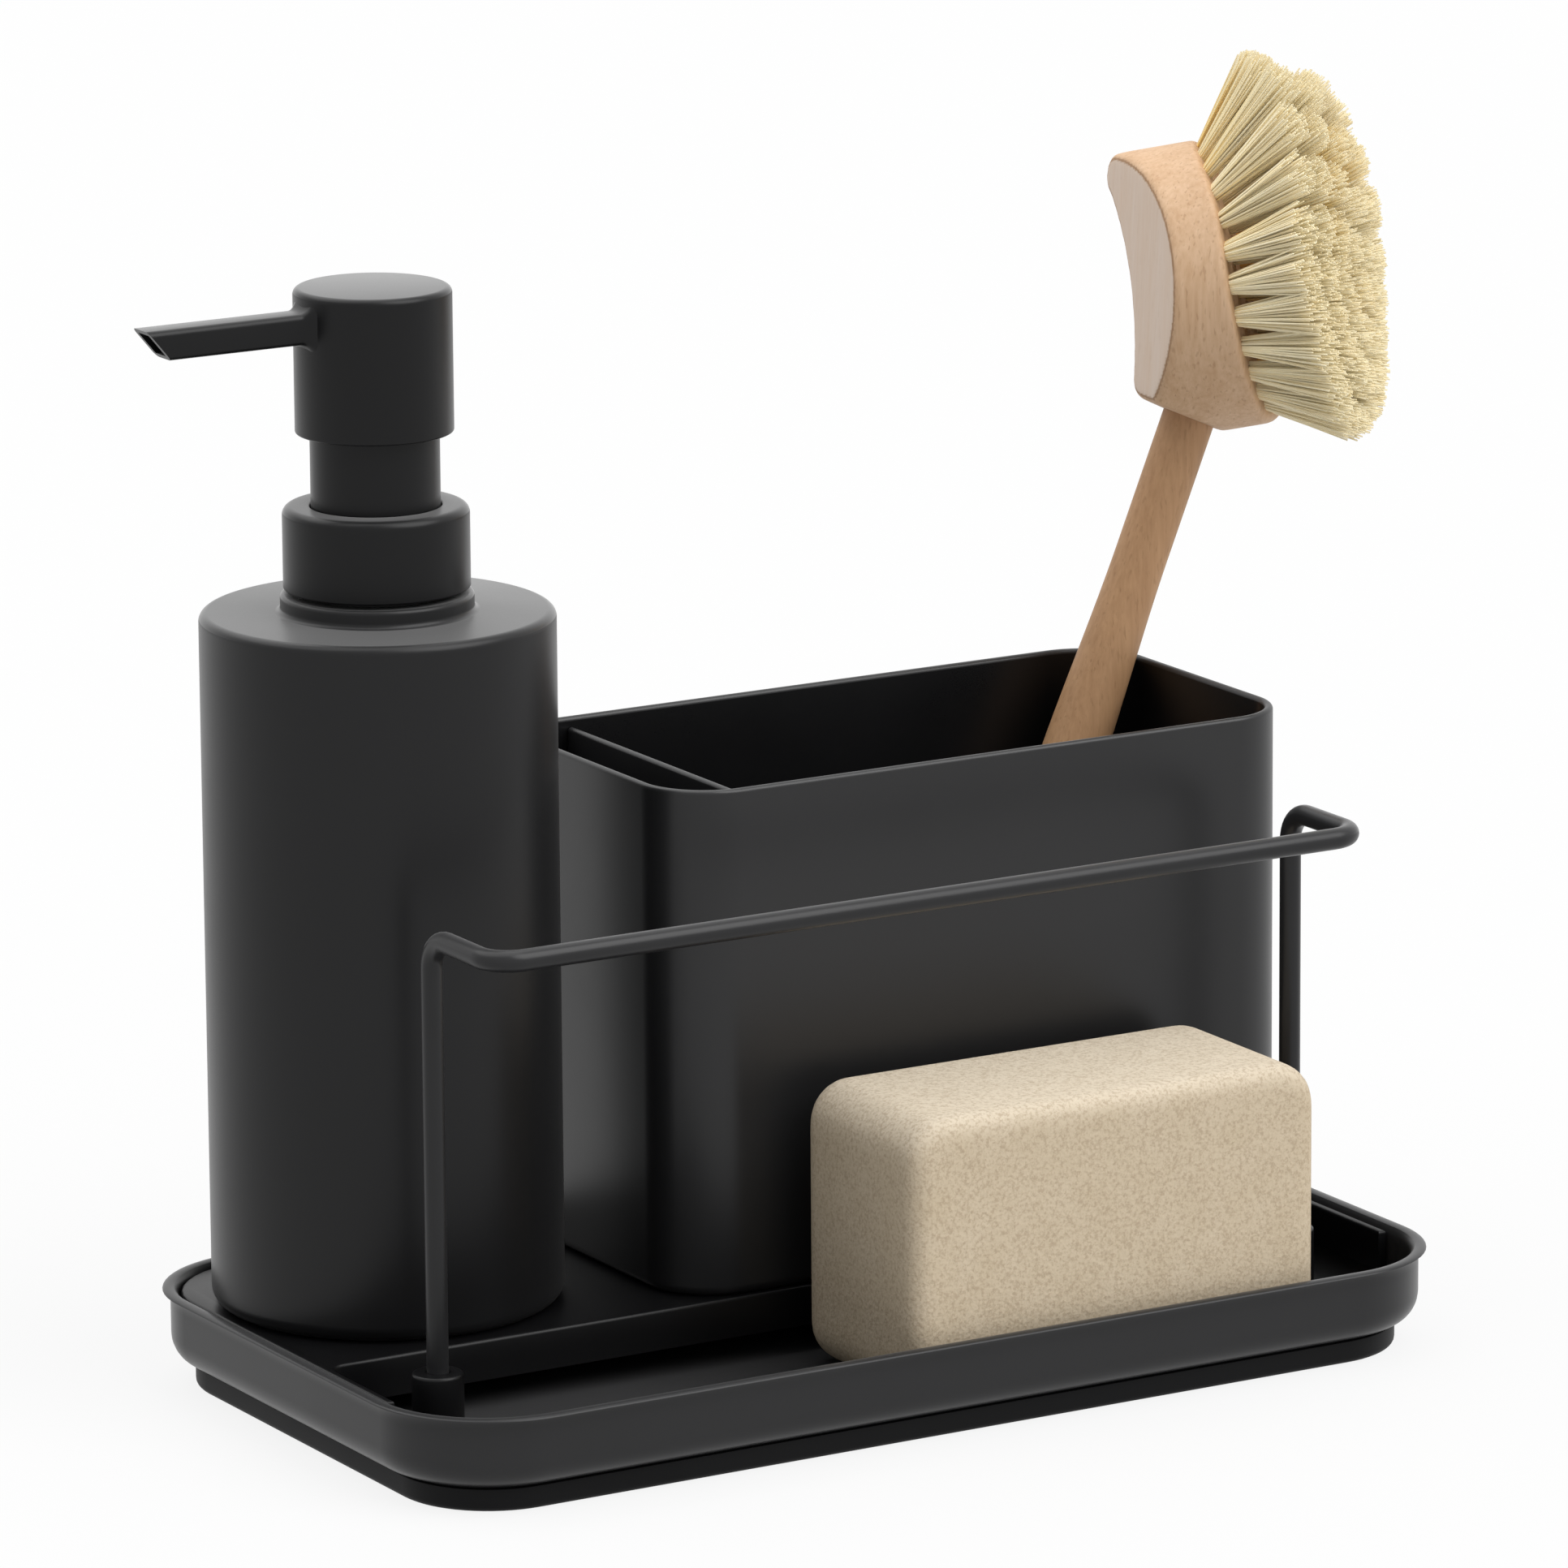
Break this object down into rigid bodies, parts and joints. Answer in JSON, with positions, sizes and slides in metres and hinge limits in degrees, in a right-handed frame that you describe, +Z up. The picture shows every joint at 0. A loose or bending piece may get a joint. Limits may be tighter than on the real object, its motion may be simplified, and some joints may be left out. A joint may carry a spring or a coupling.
{
  "type": "soap pump caddy",
  "caption": "Sink-side caddy: low rounded tray with a soap pump bottle, a wire towel rail over a sponge trough, and a divided tool pot holding a round-headed dish brush.",
  "frame": {"origin": "on the table, under the middle of the tray, at the centre of the flat underside", "axes": "+X along the tray's length towards the tool pot, +Y towards the back, +Z up; the towel rail and sponge are at the front"},
  "size_m": [0.2727, 0.1267, 0.2199],
  "materials": {
    "tray": "matte charcoal powder coat",
    "base": "matte charcoal moulding",
    "grip": "black rubber",
    "rail_wire": "matte charcoal powder coat on round wire",
    "bottle": "matte charcoal, soft sheen",
    "pump_natural": "natural translucent moulding",
    "pump_black": "fine matte charcoal moulding",
    "pump_inner": "plain dark moulding",
    "gasket": "grey sealing washer",
    "spring_steel": "plain stainless steel",
    "pot": "matte charcoal powder coat",
    "handle_wood": "oiled beech with fine grain",
    "head_wood": "pale sanded beech",
    "bristle_fibre": "stiff cream plant fibre",
    "sponge_foam": "fine-celled beige foam"
  },
  "bodies": {
    "tray": {"tray_shell": "tray", "base_plinth": "base", "grip_pads": "grip", "platform": "tray", "rail_socket_left": "tray", "rail_socket_right": "tray"},
    "rail": {"towel_rail": "rail_wire"},
    "bottle": {"bottle_shell": "bottle", "neck_insert": "pump_inner"},
    "pump_unit": {"pump_cylinder": "pump_natural", "dip_tube": "pump_natural", "neck_gasket": "gasket", "guide_sleeve": "pump_black"},
    "ball": {"check_ball": "spring_steel"},
    "collar": {"collar_shell": "pump_black", "collar_nut": "pump_inner"},
    "plunger": {"piston_seal": "pump_natural", "return_spring": "spring_steel", "pump_stem": "pump_natural"},
    "head": {"head_cap": "pump_black", "head_core": "pump_inner", "spout": "pump_black"},
    "pot": {"pot_shell": "pot"},
    "divider": {"divider_plate": "pot"},
    "brush": {"brush_handle": "handle_wood", "brush_head": "head_wood", "bristles": "bristle_fibre"},
    "sponge": {"sponge": "sponge_foam"}
  },
  "joints": [
    {"name": "rail_lift", "type": "slide", "parent": "tray", "child": "rail", "axis": [0, 0, 1], "range_m": [0, 0.02]},
    {"name": "bottle_lift", "type": "slide", "parent": "tray", "child": "bottle", "axis": [0, 0, 1], "range_m": [0, 0.05]},
    {"name": "pump_lift", "type": "slide", "parent": "bottle", "child": "pump_unit", "axis": [0, 0, 1], "range_m": [0, 0.14]},
    {"name": "check_ball_lift", "type": "slide", "parent": "pump_unit", "child": "ball", "axis": [0, 0, 1], "range_m": [0, 0.0012]},
    {"name": "collar_turn", "type": "hinge", "parent": "pump_unit", "child": "collar", "pos_m": [-0.0702, 0.0224, 0.15], "axis": [0, 0, 1], "continuous": true},
    {"name": "plunger_press", "type": "slide", "parent": "pump_unit", "child": "plunger", "axis": [0, 0, -1], "range_m": [0, 0.011], "stiffness_N_per_m": 400, "springref_m": -0.01, "deforming": ["return_spring"]},
    {"name": "head_turn", "type": "hinge", "parent": "plunger", "child": "head", "pos_m": [-0.0702, 0.0224, 0.185], "axis": [0, 0, 1], "continuous": true},
    {"name": "pot_lift", "type": "slide", "parent": "tray", "child": "pot", "axis": [0, 0, 1], "range_m": [0, 0.05]},
    {"name": "divider_lift", "type": "slide", "parent": "pot", "child": "divider", "axis": [0, 0, 1], "range_m": [0, 0.09]},
    {"name": "brush_draw", "type": "slide", "parent": "pot", "child": "brush", "axis": [0.3843, 0, 0.9232], "range_m": [0, 0.12]},
    {"name": "sponge_lift", "type": "slide", "parent": "tray", "child": "sponge", "axis": [0, 0, 1], "range_m": [0, 0.035]}
  ]
}
